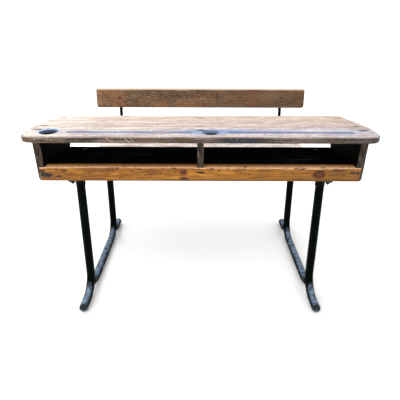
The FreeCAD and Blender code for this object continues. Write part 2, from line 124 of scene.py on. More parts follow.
def brushed_enamel():
    """Oil enamel brushed on steel tube: nearly black green and satin.  Faces that look up near the floor
    turn grey-blue, partly dust and partly painted sky reflection; scuffs show the primer, and a little
    rust sits in the chips."""
    material, tree = new_finish("brushed_black_green_enamel")
    place = add(tree, "ShaderNodeTexCoord").outputs["Object"]
    lift = add(tree, "ShaderNodeSeparateXYZ", {"Vector": place}).outputs["Z"]
    patch = add(tree, "ShaderNodeTexNoise", {"Vector": place, "Scale": 14.0, "Detail": 4.0})
    # Brush marks are about 1 mm apart; they are drawn 4 mm apart so that they show.
    brush = stretched_noise(tree, place, (250.0, 250.0, 22.0), 2.0)
    chip = add(tree, "ShaderNodeTexNoise",
               {"Vector": place, "Scale": 55.0, "Detail": 6.0, "Roughness": 0.66})
    paint = add(tree, "ShaderNodeValToRGB", {"Fac": patch},
                stops=((0.30, "#000201"), (0.52, "#010603"), (0.72, "#040D09")))
    upward = add(tree, "ShaderNodeMapRange",
                 {"Value": facing(tree)["Z"], "From Min": 0.45, "From Max": 1.0},
                 interpolation_type="SMOOTHSTEP")
    low = add(tree, "ShaderNodeMapRange",
              {"Value": lift, "From Min": 60.0 * MM, "From Max": 160.0 * MM, "To Min": 1.0, "To Max": 0.1},
              interpolation_type="SMOOTHSTEP")
    floor_fade = add(tree, "ShaderNodeMapRange",
                  {"Value": lift, "From Min": 25.0 * MM, "From Max": 60.0 * MM, "To Min": 0.55})
    patchy_dust_and_sheen = add(tree, "ShaderNodeMapRange",
                  {"Value": chip, "From Min": 0.38, "From Max": 0.58, "To Min": 0.25})
    near_floor = add(tree, "ShaderNodeMapRange",
                     {"Value": lift, "From Min": 10.0 * MM, "From Max": 70.0 * MM,
                      "To Min": 0.06, "To Max": -0.02})
    worn = add(tree, "ShaderNodeMath", {0: chip, 1: near_floor}, operation="ADD")
    worn = add(tree, "ShaderNodeMapRange",
               {"Value": worn, "From Min": 0.66, "From Max": 0.72, "To Max": 0.8})
    # The grey-blue coat on upward faces near the floor is partly dust and partly a painted sky reflection.
    coat = layered(tree, paint,
                   ("#8EA5C0", upward, 0.0, 1.0, 1.0, low, floor_fade, patchy_dust_and_sheen),
                   ("#8FA2AE", worn, 0.0, 1.0, 1.0),
                   ("#4A2C1C", chip, 0.72, 0.78, 1.0))
    rough = add(tree, "ShaderNodeMapRange",
                {"Value": chip, "From Min": 0.35, "From Max": 0.70, "To Min": 0.24, "To Max": 0.5})
    height = add(tree, "ShaderNodeMath", {0: brush, 1: worn}, operation="SUBTRACT")
    skin(tree, height, 0.3, 0.3 * MM, {"Base Color": coat, "Roughness": rough, "Specular IOR Level": 0.02})
    return material


enamel = brushed_enamel()
for kind in ("front_leg_", "runner_leg_", "rear_arm_", "rear_toe_", "back_stay_"):
    dress([kind + "left", kind + "right"], enamel)


# ---------------------------------------------------------------------------------------------
# End caps.  Hard rubber plugs with domed heads are pushed into the open tube ends.  Those near the
# floor are scuffed grey.

def hard_rubber():
    """Moulded black rubber: low sheen, dusty in patches and scuffed pale where it meets the floor."""
    material, tree = new_finish("hard_black_rubber")
    place = add(tree, "ShaderNodeTexCoord").outputs["Object"]
    lift = add(tree, "ShaderNodeSeparateXYZ", {"Vector": place}).outputs["Z"]
    dust = add(tree, "ShaderNodeTexNoise",
               {"Vector": place, "Scale": 70.0, "Detail": 6.0, "Roughness": 0.6})
    low = add(tree, "ShaderNodeMapRange",
              {"Value": lift, "From Max": 30.0 * MM, "To Min": 0.22, "To Max": 0.0})
    scuff = add(tree, "ShaderNodeMath", {0: dust, 1: low}, operation="ADD")
    rubber = add(tree, "ShaderNodeValToRGB", {"Fac": scuff},
                 stops=((0.40, "#0B1013"), (0.60, "#1B242B"), (0.80, "#5A6C7C")))
    skin(tree, dust, 0.4, 0.3 * MM, {"Base Color": rubber, "Roughness": 0.5, "Specular IOR Level": 0.2})
    return material


dress(["tube_caps"], hard_rubber())


# ---------------------------------------------------------------------------------------------
# Weld beads.  Every tube that ends on a leg is cut to a saddle and welded all round.  The bead
# follows the seam of the two tubes, is a little lumpy from the rod, and is painted with the frame.

TUBE_RADIUS = 16.85 * MM
BEAD_RADIUS = 2.6 * MM
SEAM_STEPS = 56
BEAD_SIDES = 10
FRAME_X = 466.0 * MM
FRONT_LEG_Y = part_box("front_leg_left")[1].y - TUBE_RADIUS
REAR_LEG_Y = FRONT_LEG_Y + 438.0 * MM
# The height at which a brace's axis meets the leg's, and how steeply the brace leaves level.
FLOOR_BRACE = (60.85 * MM, math.atan2(-44.0, 37.0))
ARM_BRACE = (500.1 * MM, math.atan2(72.0, 44.0))


def weld_seam_tree(finish):
    """Geometry nodes: a seam round every brace point, swept with a lumpy bead."""
    tree = bpy.data.node_groups.new("weld_seams", "GeometryNodeTree")
    tree.interface.new_socket("Geometry", in_out="INPUT", socket_type="NodeSocketGeometry")
    for name in ("Tube radius", "Bead radius", "Lump size"):
        tree.interface.new_socket(name, in_out="INPUT", socket_type="NodeSocketFloat")
    tree.interface.new_socket("Geometry", in_out="OUTPUT", socket_type="NodeSocketGeometry")
    given = add(tree, "NodeGroupInput").outputs
    where = add(tree, "GeometryNodeInputPosition")
    hubs = add(tree, "GeometryNodeStoreNamedAttribute",
               {"Geometry": given["Geometry"], "Name": "hub", "Value": where}, data_type="FLOAT_VECTOR")
    ring = add(tree, "GeometryNodeCurvePrimitiveCircle", {"Resolution": SEAM_STEPS, "Radius": MM})
    share = add(tree, "GeometryNodeSplineParameter")
    ring = add(tree, "GeometryNodeStoreNamedAttribute",
               {"Geometry": ring, "Name": "way_round", "Value": share}, data_type="FLOAT")
    seams = add(tree, "GeometryNodeInstanceOnPoints", {"Points": hubs, "Instance": ring})
    seams = add(tree, "GeometryNodeRealizeInstances", {"Geometry": seams})
    hub = add(tree, "GeometryNodeInputNamedAttribute", {"Name": "hub"}, data_type="FLOAT_VECTOR")
    lean = add(tree, "GeometryNodeInputNamedAttribute", {"Name": "lean"}, data_type="FLOAT")
    way_round = add(tree, "GeometryNodeInputNamedAttribute", {"Name": "way_round"}, data_type="FLOAT")

    # The seam of two equal tubes is one radius from both axes: y = r |cos|, x = r sin.
    turn = add(tree, "ShaderNodeMath", {0: way_round, 1: 2 * math.pi}, operation="MULTIPLY")
    across = add(tree, "ShaderNodeMath", {0: turn}, operation="COSINE")
    beside = add(tree, "ShaderNodeMath", {0: turn}, operation="SINE")
    out = add(tree, "ShaderNodeMath", {0: across}, operation="ABSOLUTE")
    lean_sine = add(tree, "ShaderNodeMath", {0: lean}, operation="SINE")
    lean_cosine = add(tree, "ShaderNodeMath", {0: lean}, operation="COSINE")
    along = add(tree, "ShaderNodeMath", {0: across, 1: lean_sine, 2: out}, operation="MULTIPLY_ADD")
    along = add(tree, "ShaderNodeMath", {0: along, 1: lean_cosine}, operation="DIVIDE")
    climb = add(tree, "ShaderNodeMath", {0: across, 1: lean_cosine}, operation="MULTIPLY")
    up = add(tree, "ShaderNodeMath", {0: along, 1: lean_sine, 2: climb}, operation="MULTIPLY_ADD")
    offset = add(tree, "ShaderNodeCombineXYZ", {"X": beside, "Y": out, "Z": up})
    offset = add(tree, "ShaderNodeVectorMath", {0: offset, "Scale": given["Tube radius"]}, operation="SCALE")
    spot = add(tree, "ShaderNodeVectorMath", {0: hub, 1: offset}, operation="ADD")
    seams = add(tree, "GeometryNodeSetPosition", {"Geometry": seams, "Position": spot})

    lumps = add(tree, "ShaderNodeTexNoise", {"Vector": spot, "Scale": 320.0, "Detail": 1.0})
    lumps = add(tree, "ShaderNodeMath", {0: lumps, 1: given["Lump size"], 2: 0.7}, operation="MULTIPLY_ADD")
    thick = add(tree, "ShaderNodeMath", {0: lumps, 1: given["Bead radius"]}, operation="MULTIPLY")
    profile = add(tree, "GeometryNodeCurvePrimitiveCircle", {"Resolution": BEAD_SIDES, "Radius": 1.0})
    bead = add(tree, "GeometryNodeCurveToMesh", {"Curve": seams, "Profile Curve": profile, "Scale": thick})
    bead = add(tree, "GeometryNodeSetShadeSmooth", {"Geometry": bead})
    bead = add(tree, "GeometryNodeRealizeInstances", {"Geometry": bead})
    bead = add(tree, "GeometryNodeSetMaterial", {"Geometry": bead, "Material": finish})
    add(tree, "NodeGroupOutput", {"Geometry": bead})
    return tree


def grown(name, start, tree, sizes):
    """Run a geometry node tree on a starting mesh, and keep the result as a plain mesh piece."""
    seedling = bpy.data.objects.new(name + "_start", start)
    bpy.context.scene.collection.objects.link(seedling)
    modifier = seedling.modifiers.new(name, "NODES")
    modifier.node_group = tree
    sockets = {item.name: item.identifier for item in tree.interface.items_tree if item.in_out == "INPUT"}
    for label, value in sizes.items():
        modifier[sockets[label]] = value
    ready = seedling.evaluated_get(bpy.context.evaluated_depsgraph_get())
    mesh = bpy.data.meshes.new_from_object(ready)
    mesh.name = name
    piece = bpy.data.objects.new(name, mesh)
    bpy.context.scene.collection.objects.link(piece)
    bpy.data.objects.remove(seedling)
    return piece


def brace_ends():
    """One vertex where each brace's axis meets its leg's axis, with the way the brace leans."""
    spots = ((FRONT_LEG_Y, *FLOOR_BRACE), (FRONT_LEG_Y, *ARM_BRACE), (REAR_LEG_Y, *FLOOR_BRACE))
    corners = [(side * FRAME_X, *spot) for side in (-1, 1) for spot in spots]
    mesh = bpy.data.meshes.new("brace_ends")
    mesh.from_pydata([corner[:3] for corner in corners], [], [])
    mesh.attributes.new("lean", "FLOAT", "POINT").data.foreach_set("value", [corner[3] for corner in corners])
    return mesh


weld_beads = grown("weld_beads", brace_ends(), weld_seam_tree(enamel),
                   {"Tube radius": TUBE_RADIUS, "Bead radius": BEAD_RADIUS, "Lump size": 0.6})
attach(weld_beads, "root")


# ---------------------------------------------------------------------------------------------
# Book box uprights.  Two end panels and a centre divider of softwood, cut across wide boards so that
# the grain stands upright, stained dark and left to weather.  The front edges have gone grey-brown.

def spot_distance(tree, place, spot, shrink, *ragged):
    """How far a point is from a spot, with each axis shrunk by its own factor.  Ragged pairs a noise,
    which is about a half on average, with the distance that it adds at 1, so that the edge of a mark
    runs in and out."""
    gap = add(tree, "ShaderNodeVectorMath", {0: place, 1: spot}, operation="SUBTRACT")
    gap = add(tree, "ShaderNodeVectorMath", {0: gap, 1: shrink}, operation="MULTIPLY")
    gap = add(tree, "ShaderNodeVectorMath", {0: gap}, operation="LENGTH")
    for noise, reach in ragged:
        gap = add(tree, "ShaderNodeMath", {0: noise, 1: reach, 2: gap}, operation="MULTIPLY_ADD")
    return gap


def plank_grain(tree, name, turn, ring_gap, pith, run=1.0):
    """Grain of a sawn plank, turned so that its length is X: a point's place from the plank's middle,
    the dark latewood lines, fine fibres and a slow mottle.  Pith is where the heart of the tree lay
    beside that middle, and run shortens the marks along the plank."""
    lowest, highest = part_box(name)
    place = add(tree, "ShaderNodeTexCoord").outputs["Object"]
    local = add(tree, "ShaderNodeMapping",
                {"Vector": place, "Location": (lowest + highest) / 2, "Rotation": turn},
                vector_type="TEXTURE")
    sway = stretched_noise(tree, local, (2.4 * run, 9.0, 9.0)).outputs["Color"]
    sway = add(tree, "ShaderNodeVectorMath", {0: sway, 1: (0.5, 0.5, 0.5)}, operation="SUBTRACT")
    bent = add(tree, "ShaderNodeVectorMath", {0: sway, 1: (0.02, 0.035, 0.035), 2: local},
               operation="MULTIPLY_ADD")
    depth = spot_distance(tree, bent, (0.0, *pith), (0.03, 1.0, 1.0))
    # Growth rings are 2 to 4 mm apart; ring_gap draws them 6 to 13 mm apart so that they show.
    year = add(tree, "ShaderNodeMath", {0: depth, 1: ring_gap}, operation="DIVIDE")
    season = add(tree, "ShaderNodeMath", {0: year}, operation="FRACT")
    summer = add(tree, "ShaderNodeMapRange", {"Value": season, "From Min": 0.30, "From Max": 0.88},
                 interpolation_type="SMOOTHSTEP")
    turnover = add(tree, "ShaderNodeMapRange",
                   {"Value": season, "From Min": 0.90, "From Max": 1.0, "To Min": 1.0, "To Max": 0.0})
    latewood = add(tree, "ShaderNodeMath", {0: summer, 1: turnover}, operation="MULTIPLY")
    # Fibres are well under 1 mm wide; they are drawn 3 mm wide so that they show.
    fibre = stretched_noise(tree, local, (8.0 * run, 290.0, 290.0), 3.0, 0.6)
    mottle = stretched_noise(tree, local, (4.0 * run, 15.0, 15.0), 4.0, 0.55)
    return local, latewood, fibre, mottle


def streaks(tree, fibre, mottle):
    """Fibres that thicken and thin with the mottle, as the mean of the two."""
    both = add(tree, "ShaderNodeMath", {0: fibre, 1: mottle}, operation="ADD")
    return add(tree, "ShaderNodeMath", {0: both, 1: 0.5}, operation="MULTIPLY")


def stained_softwood(name, outward):
    """Dark spirit stain on sawn softwood: flat and dry, and nearly black on the faces inside the box, where
    the dark stain is deepened into painted shade; greyed and pale along the fibres of the front edges
    and, less, on the face that looks outward."""
    material, tree = new_finish("stained_softwood_" + name)
    _, latewood, fibre, mottle = plank_grain(tree, name, (0.0, math.pi / 2, 0.0), 9.0 * MM, (0.0, -0.06), 2.5)
    way = facing(tree)
    front = add(tree, "ShaderNodeMapRange",
                {"Value": way["Y"], "From Min": -0.9, "From Max": -0.5, "To Min": 1.0, "To Max": 0.0})
    outer = add(tree, "ShaderNodeMath", {0: way["X"], 1: outward}, operation="MULTIPLY")
    outer = add(tree, "ShaderNodeMapRange",
                {"Value": outer, "From Min": 0.5, "From Max": 0.9, "To Max": 0.55})
    seen = add(tree, "ShaderNodeMath", {0: front, 1: outer}, operation="MAXIMUM")
    # The near-black ramp, kept on the faces inside the box, is partly the dark stain and partly painted
    # shade.
    stain = add(tree, "ShaderNodeValToRGB", {"Fac": mottle},
                stops=((0.34, "#020201"), (0.55, "#050403"), (0.72, "#0D0A08")))
    greyed = add(tree, "ShaderNodeValToRGB", {"Fac": streaks(tree, fibre, mottle)},
                 stops=((0.38, "#251E1A"), (0.50, "#4C423B"), (0.62, "#8C8177")))
    body = layered(tree, stain, (greyed, seen, 0.0, 1.0, 1.0), ("#0A0806", latewood, 0.0, 1.0, 0.45))
    height = add(tree, "ShaderNodeMath", {0: fibre, 1: 1.4, 2: latewood}, operation="MULTIPLY_ADD")
    rough = add(tree, "ShaderNodeMapRange", {"Value": fibre, "To Min": 0.62, "To Max": 0.85})
    skin(tree, height, 0.5, 0.5 * MM, {"Base Color": body, "Roughness": rough, "Specular IOR Level": 0.02})
    return material


for upright, outward in (("end_panel_left", -1.0), ("end_panel_right", 1.0), ("centre_divider", 0.0)):
    dress([upright], stained_softwood(upright, outward))


# ---------------------------------------------------------------------------------------------
# Book shelf.  One thin board housed in the end panels, tilted a little and bolted to the tube arms.
# It has been rubbed smooth by books.  Its near-black colour is painted shade for the dark inside of the
# box, and faint blue-grey streaks on it are painted sheen.

SHELF_TILT = math.radians(3.0)


def painted_shade_black_shelf():
    """Board rubbed by books, coloured close to black as painted shade, with faint blue-grey streaks of
    painted sheen and no gloss."""
    material, tree = new_finish("painted_shade_black_shelf")
    _, latewood, fibre, mottle = plank_grain(tree, "book_shelf", (SHELF_TILT, 0.0, 0.0), 8.0 * MM,
                                             (0.0, -0.05))
    # The near-black ramp is painted shade for the dark inside of the box.
    stain = add(tree, "ShaderNodeValToRGB", {"Fac": fibre},
                stops=((0.35, "#06080A"), (0.55, "#0C1013"), (0.72, "#141A20")))
    sheen_streak = add(tree, "ShaderNodeMapRange", {"Value": fibre, "From Min": 0.50, "From Max": 0.66})
    # The blue-grey streaks are painted sheen.
    body = layered(tree, stain, ("#4A5A6C", mottle, 0.54, 0.72, 0.6, sheen_streak))
    rough = add(tree, "ShaderNodeMapRange", {"Value": mottle, "To Min": 0.42, "To Max": 0.7})
    height = add(tree, "ShaderNodeMath", {0: fibre, 1: latewood}, operation="ADD")
    skin(tree, height, 0.35, 0.3 * MM, {"Base Color": body, "Roughness": rough, "Specular IOR Level": 0.0})
    return material


dress(["book_shelf"], painted_shade_black_shelf())


# ---------------------------------------------------------------------------------------------
# Book rail.  A planed pine rail closes the box's front at the bottom, rebated over the uprights and
# screwed to them.  It is varnished honey brown; its upper arris is rubbed pale by books and arms, and
# the pale band there is partly a painted highlight.

RAIL_RAKE = math.radians(5.0)
RAIL_HALF_THICK = 15.0 * MM
RAIL_HALF_HIGH = 26.0 * MM
# Knots and dark blue-black patches: how far along and up from the rail's middle they are and their
# radius, in millimetres, and how many times longer than high they are.
KNOTS = ((-60.0, 8.0, 8.0, 1.4), (414.0, 1.0, 13.0, 1.5), (-56.0, -18.0, 7.5, 1.7))
DARK_PATCHES = ((-538.0, -3.5, 9.5, 3.2), (-494.0, -10.0, 5.0, 3.0), (2.0, 8.0, 5.0, 3.5),
               (-474.0, 14.0, 4.0, 3.0), (-550.0, 12.0, 4.5, 2.5), (530.0, 8.0, 3.5, 3.0),
               (474.0, 15.0, 3.5, 10.0))
# A knot's halo of turned grain ends at this many times its radius.
KNOT_HALO = 2.2


def knotty(tree, body, local, bands):
    """Knots: a red-brown heart, a dark rim of bark and a warm halo where the grain turns round them."""
    for along, up, radius, stretch in KNOTS:
        gap = spot_distance(tree, local, (along * MM, 0.0, up * MM), (1.0 / stretch, 0.0, 1.0),
                            (bands, 20.0 * MM))
        # The bands add 10 mm on average; most of that comes off again, and only the ragged border stays.
        gap = add(tree, "ShaderNodeMath", {0: gap, 1: 8.0 * MM}, operation="SUBTRACT")
        reach = add(tree, "ShaderNodeMath", {0: gap, 1: KNOT_HALO * radius * MM}, operation="DIVIDE")
        knot = add(tree, "ShaderNodeValToRGB", {"Fac": reach},
                   stops=((0.20, "#5A2E02"), (0.38, "#3E1A00"), (0.46, "#240C00"), (0.56, "#5E2F04"),
                          (0.78, "#8A5010")))
        body = layered(tree, body, (knot, reach, 1.0, 0.50, 0.95))
    return body


def varnished_pine():
    """Shellac varnish on flat-sawn pine: warm yellow-brown with darker summer lines and red-brown
    knots, a satin shine, dark nicks along the top, bare pale wood with a painted highlight on the
    rubbed arris, a top face painted lighter as light and a back edge painted darker as shade."""
    material, tree = new_finish("varnished_pine")
    local, latewood, fibre, mottle = plank_grain(tree, "book_rail", (RAIL_RAKE, 0.0, 0.0), 6.0 * MM,
                                                 (-0.05, 0.012))
    on_rail = add(tree, "ShaderNodeSeparateXYZ", {"Vector": local}).outputs
    base = add(tree, "ShaderNodeValToRGB", {"Fac": mottle},
               stops=((0.36, "#7C4A0C"), (0.50, "#9D6414"), (0.64, "#B37822")))
    # Hard and soft bands are 1 to 3 mm wide; they are drawn about 5 mm wide so that they show.
    bands = stretched_noise(tree, local, (16.0, 190.0, 190.0), 5.0, 0.7)
    body = layered(tree, base,
                   ("#6A3B0E", latewood, 0.0, 1.0, 0.6),
                   ("#6A3B0A", bands, 0.50, 0.64, 0.75),
                   ("#C78B34", bands, 0.48, 0.36, 0.6),
                   ("#4A270A", fibre, 0.50, 0.68, 0.65),
                   ("#54340F", on_rail["X"], -20.0 * MM, 480.0 * MM, 0.52))
    body = knotty(tree, body, local, bands)
    for along, up, radius, stretch in DARK_PATCHES:
        gap = spot_distance(tree, local, (along * MM, 0.0, up * MM), (1.0 / stretch, 0.0, 1.0),
                            (bands, 16.0 * MM))
        # The bands add 8 mm on average, so that a mark fades out at about its radius.
        body = layered(tree, body, ("#151518", gap, (radius + 7.8) * MM, (0.8 * radius + 7.0) * MM, 0.97))
    # Nicks are 1 to 3 mm across and crowd towards the top; they are drawn larger so that they show.
    nicks = stretched_noise(tree, local, (55.0, 190.0, 190.0))
    crowd = add(tree, "ShaderNodeMapRange",
                {"Value": on_rail["Z"], "From Min": -10.0 * MM, "From Max": 18.0 * MM, "To Max": 0.08})
    nicks = add(tree, "ShaderNodeMath", {0: nicks, 1: crowd}, operation="ADD")
    nicks = add(tree, "ShaderNodeMapRange",
                {"Value": nicks, "From Min": 0.67, "From Max": 0.72, "To Max": 0.85})
    # The pale band on the arris, rubbed bare wood with a painted highlight, runs far back over the top,
    # but only a little way down the face.
    inward = add(tree, "ShaderNodeMath", {0: on_rail["Y"], 1: RAIL_HALF_THICK}, operation="ADD")
    drop = add(tree, "ShaderNodeMath", {0: RAIL_HALF_HIGH, 1: on_rail["Z"]}, operation="SUBTRACT")
    gap = add(tree, "ShaderNodeMath", {0: drop, 1: 3.5, 2: inward}, operation="MULTIPLY_ADD")
    gap = add(tree, "ShaderNodeMath", {0: mottle, 1: -28.0 * MM, 2: gap}, operation="MULTIPLY_ADD")
    rubbed_and_highlit = add(tree, "ShaderNodeMapRange",
                 {"Value": gap, "From Min": -3.0 * MM, "From Max": 3.0 * MM, "To Min": 0.8, "To Max": 0.0})
    # The lighter coat on the upward top face is painted light, and the dark coat along the back edge of the
    # top is painted shade.
    body = layered(tree, body,
                   ("#4A3212", on_rail["Z"], -14.0 * MM, -26.0 * MM, 0.7),
                   ("#CC8742", facing(tree)["Z"], 0.7, 0.98, 0.55),
                   ("#E6B68C", rubbed_and_highlit, 0.0, 1.0, 1.0),
                   ("#32160A", on_rail["Y"], 4.0 * MM, 15.0 * MM, 0.6),
                   ("#2C1508", nicks, 0.0, 1.0, 1.0))
    rough = add(tree, "ShaderNodeMapRange", {"Value": rubbed_and_highlit, "To Min": 0.34, "To Max": 0.6})
    height = add(tree, "ShaderNodeMath", {0: nicks, 1: -2.0, 2: fibre}, operation="MULTIPLY_ADD")
    skin(tree, height, 0.4, 0.4 * MM, {"Base Color": body, "Roughness": rough, "Specular IOR Level": 0.25})
    return material


dress(["book_rail"], varnished_pine())


# ---------------------------------------------------------------------------------------------
# Desk top.  Three pine boards: a flat ledge with two pen grooves and two inkwell holes, and two
# boards that slope away from it.  Sun and scrubbing have bleached them; ink has soaked in round the
# holes and grooves, and the ledge's outer edge has gone grey and splintery.

BOARD_THICK = 22.0 * MM
SLOPE = math.radians(6.3)
# Grooves and holes start further in from a board's edges than this.
EDGE_BAND = 12.0 * MM
# A row of three screws runs along each board: one in the middle, and one this far to each side.
SCREW_X = 562.0 * MM
INKWELL_Y = -452.8 * MM
# The middle of each inkwell, how strongly the ink has coloured the wood round it, and how far.
INKWELLS = ((-514.0 * MM, 0.45, 66.0 * MM), (35.0 * MM, 0.8, 84.0 * MM))
# The middle of a lighter blue ring at the left inkwell.
LEFT_INKWELL_RING = (-516.0 * MM, -444.0 * MM, 0.0)
GROOVE_Y = -450.8 * MM
# The middle of each pen groove, half its length, and how strongly ink has coloured the wood round it.
GROOVES = ((-240.0 * MM, 215.0 * MM, 0.3), (309.0 * MM, 215.0 * MM, 0.95))
# Where the left groove's ink has been scrubbed out, and the black stretch of the ledge's edge.
SCRUBBED_X = -132.0 * MM
EDGE_STAIN_X = 125.0 * MM
EDGE_STAIN_REACH = 95.0 * MM
# Both ends of each scratch, in metres.
SCRATCHES = (((-0.479, -0.462, 0.748), (-0.486, -0.398, 0.748)),
             ((-0.309, -0.507, 0.744), (-0.286, -0.507, 0.731)),
             ((-0.237, -0.504, 0.748), (-0.220, -0.507, 0.735)),
             ((-0.246, -0.507, 0.742), (-0.232, -0.507, 0.730)))
# The X, Y and radius of each bruise in a board's face, in millimetres.
BRUISES = {"ledge_board": ((-345.0, -412.0, 3.0), (-378.0, -490.0, 2.0), (40.0, -405.0, 3.0),
                           (-30.0, -410.0, 4.0)),
           "writing_board_near": ((-380.0, -265.0, 6.0), (225.0, -300.0, 3.0)),
           "writing_board_far": ((-310.0, -125.0, 4.0), (-20.0, -140.0, 4.0)),
           "seat_board_front": ((-210.0, 190.0, 3.0), (330.0, 250.0, 4.0)),
           "seat_board_rear": ((110.0, 330.0, 4.0), (-420.0, 400.0, 3.0))}


def arris_distance(tree, local, half):
    """How far a point of a board's surface is from the nearest edge: the middle one of its three
    distances to the faces."""
    inward = add(tree, "ShaderNodeVectorMath", {0: local}, operation="ABSOLUTE")
    inward = add(tree, "ShaderNodeVectorMath", {0: half, 1: inward}, operation="SUBTRACT")
    split = add(tree, "ShaderNodeSeparateXYZ", {"Vector": inward}).outputs
    least = add(tree, "ShaderNodeMath", {0: split["X"], 1: split["Y"]}, operation="MINIMUM")
    most = add(tree, "ShaderNodeMath", {0: split["X"], 1: split["Y"]}, operation="MAXIMUM")
    inner = add(tree, "ShaderNodeMath", {0: most, 1: split["Z"]}, operation="MINIMUM")
    return add(tree, "ShaderNodeMath", {0: least, 1: inner}, operation="MAXIMUM")


def soaked_ink(tree, body, place, mottle, bands):
    """Blue-grey ink that has spread along the grain round the inkwells and grooves, driest at the
    right, and a lighter blue ring at the left inkwell."""
    for x, strength, reach in INKWELLS:
        gap = spot_distance(tree, place, (x, INKWELL_Y, 0.0), (0.48, 1.0, 0.0),
                            (mottle, 60.0 * MM), (bands, 60.0 * MM))
        body = layered(tree, body, ("#6C88B2", gap, reach + 24.0 * MM, reach, strength))
    gap = spot_distance(tree, place, LEFT_INKWELL_RING, (1.0, 1.0, 0.0))
    body = layered(tree, body, ("#7092BE", gap, 36.0 * MM, 33.0 * MM, 0.9))
    split = add(tree, "ShaderNodeSeparateXYZ", {"Vector": place}).outputs
    drier = add(tree, "ShaderNodeMapRange",
                {"Value": split["X"], "From Min": 0.12, "From Max": 0.50, "To Min": 1.0, "To Max": 0.4})
    lines = add(tree, "ShaderNodeMapRange",
                {"Value": bands, "From Min": 0.42, "From Max": 0.56, "To Min": 1.0, "To Max": 0.45})
    for x, reach, strength in GROOVES:
        beyond = spot_distance(tree, place, (x, 0.0, 0.0), (1.0, 0.0, 0.0))
        beyond = add(tree, "ShaderNodeMath", {0: beyond, 1: reach}, operation="SUBTRACT")
        beyond = add(tree, "ShaderNodeMath", {0: beyond, 1: 0.0}, operation="MAXIMUM")
        gap = add(tree, "ShaderNodeCombineXYZ", {"X": beyond, "Y": split["Y"]})
        gap = spot_distance(tree, gap, (0.0, GROOVE_Y, 0.0), (0.4, 1.0, 0.0),
                            (mottle, 150.0 * MM), (bands, 200.0 * MM))
        body = layered(tree, body, ("#7290BA", gap, 220.0 * MM, 170.0 * MM, strength, drier, lines))
    return body


def sunk_ink_sheen_and_shade(tree, body, local, edge, mottle):
    """Blue-grey in the grooves and rebates, partly ink and dirt and partly painted sky reflection, and
    near-black to slate painted shade on all that lies deeper: the walls of the inkwell holes, and the
    ledge's underside with them."""
    top = BOARD_THICK / 2
    split = add(tree, "ShaderNodeSeparateXYZ", {"Vector": local}).outputs
    inside = add(tree, "ShaderNodeMapRange",
                 {"Value": edge, "From Min": EDGE_BAND, "From Max": EDGE_BAND + 2.0 * MM})
    scrubbed = spot_distance(tree, local, (SCRUBBED_X, 0.0, 0.0), (1.0, 0.0, 0.0))
    scrubbed = add(tree, "ShaderNodeMapRange",
                   {"Value": scrubbed, "From Min": 10.0 * MM, "From Max": 35.0 * MM, "To Min": 0.3})
    # The blue-grey ramp is partly ink and dirt and partly painted sky reflection.
    groove_ink_and_sheen = add(tree, "ShaderNodeValToRGB", {"Fac": mottle},
              stops=((0.36, "#5C7299"), (0.52, "#8092B2"), (0.68, "#A2A9BC")))
    groove_ink_and_sheen = layered(tree, groove_ink_and_sheen,
                  ("#4E6C9A", split["X"], 60.0 * MM, 110.0 * MM, 0.75),
                  ("#1C2A40", split["X"], -440.0 * MM, -470.0 * MM, 0.75))
    # The wall colour, near black to slate, is painted shade in the inkwell holes and on the ledge's
    # underside.
    wall_shade = layered(tree, "#0A1018", ("#35414F", split["X"], 0.0, 10.0 * MM, 1.0))
    return layered(tree, body,
                   (groove_ink_and_sheen, split["Z"], top - 0.3 * MM, top - 3.0 * MM, 1.0, inside, scrubbed),
                   (wall_shade, split["Z"], top - 5.6 * MM, top - 8.0 * MM, 1.0, inside))


def iron_stain(tree, body, place, fibre, screw_y):
    """Blue-black marks where iron screws have stained the damp wood round them."""
    split = add(tree, "ShaderNodeSeparateXYZ", {"Vector": place}).outputs
    nearest = add(tree, "ShaderNodeMath", {0: split["X"], 1: SCREW_X / 2}, operation="PINGPONG")
    gap = add(tree, "ShaderNodeCombineXYZ", {"X": nearest, "Y": split["Y"]})
    gap = spot_distance(tree, gap, (0.0, screw_y, 0.0), (0.42, 1.0, 0.0), (fibre, 9.0 * MM))
    return layered(tree, body, ("#222633", gap, 14.0 * MM, 9.5 * MM, 0.96))


def bruised(tree, body, place, fibre, spots):
    """Small dark bruises, longer along the grain, where dirt and ink have lodged."""
    for x, y, radius in spots:
        gap = spot_distance(tree, place, (x * MM, y * MM, 0.0), (0.42, 1.0, 0.0), (fibre, 6.0 * MM))
        body = layered(tree, body, ("#3A3842", gap, (radius + 6.0) * MM, radius * MM, 0.85))
    return body


def scratched(tree, body, place, strokes):
    """Fine pale scratches, straight strokes given by both ends, some of them over the board's edge."""
    for start, end in strokes:
        stroke = Vector(end) - Vector(start)
        away = add(tree, "ShaderNodeVectorMath", {0: place, 1: start}, operation="SUBTRACT")
        share = add(tree, "ShaderNodeVectorMath", {0: away, 1: stroke / stroke.length_squared},
                    operation="DOT_PRODUCT")
        share = add(tree, "ShaderNodeMath", {0: share, 1: 1.0}, operation="MULTIPLY", use_clamp=True)
        along = add(tree, "ShaderNodeVectorMath", {0: stroke, "Scale": share}, operation="SCALE")
        off = add(tree, "ShaderNodeVectorMath", {0: away, 1: along}, operation="DISTANCE")
        body = layered(tree, body, ("#D8BCB0", off, 2.0 * MM, 0.5 * MM, 0.45))
    return body


def edge_stain(tree, body, place, side, mottle):
    """Golden patches, a dimmer right end and one ink-black stretch on the ledge's side."""
    along = add(tree, "ShaderNodeSeparateXYZ", {"Vector": place}).outputs["X"]
    golden = add(tree, "ShaderNodeTexNoise", {"Vector": place, "Scale": 11.0, "Detail": 3.0})
    off = spot_distance(tree, place, (EDGE_STAIN_X, 0.0, 0.0), (1.0, 0.0, 0.0), (mottle, 120.0 * MM))
    return layered(tree, body,
                   ("#5A4329", golden, 0.48, 0.60, 0.55, side),
                   ("#2A2522", along, 0.15, 0.45, 0.55, side),
                   ("#171E2A", off, EDGE_STAIN_REACH + 85.0 * MM, EDGE_STAIN_REACH + 10.0 * MM, 0.88, side))


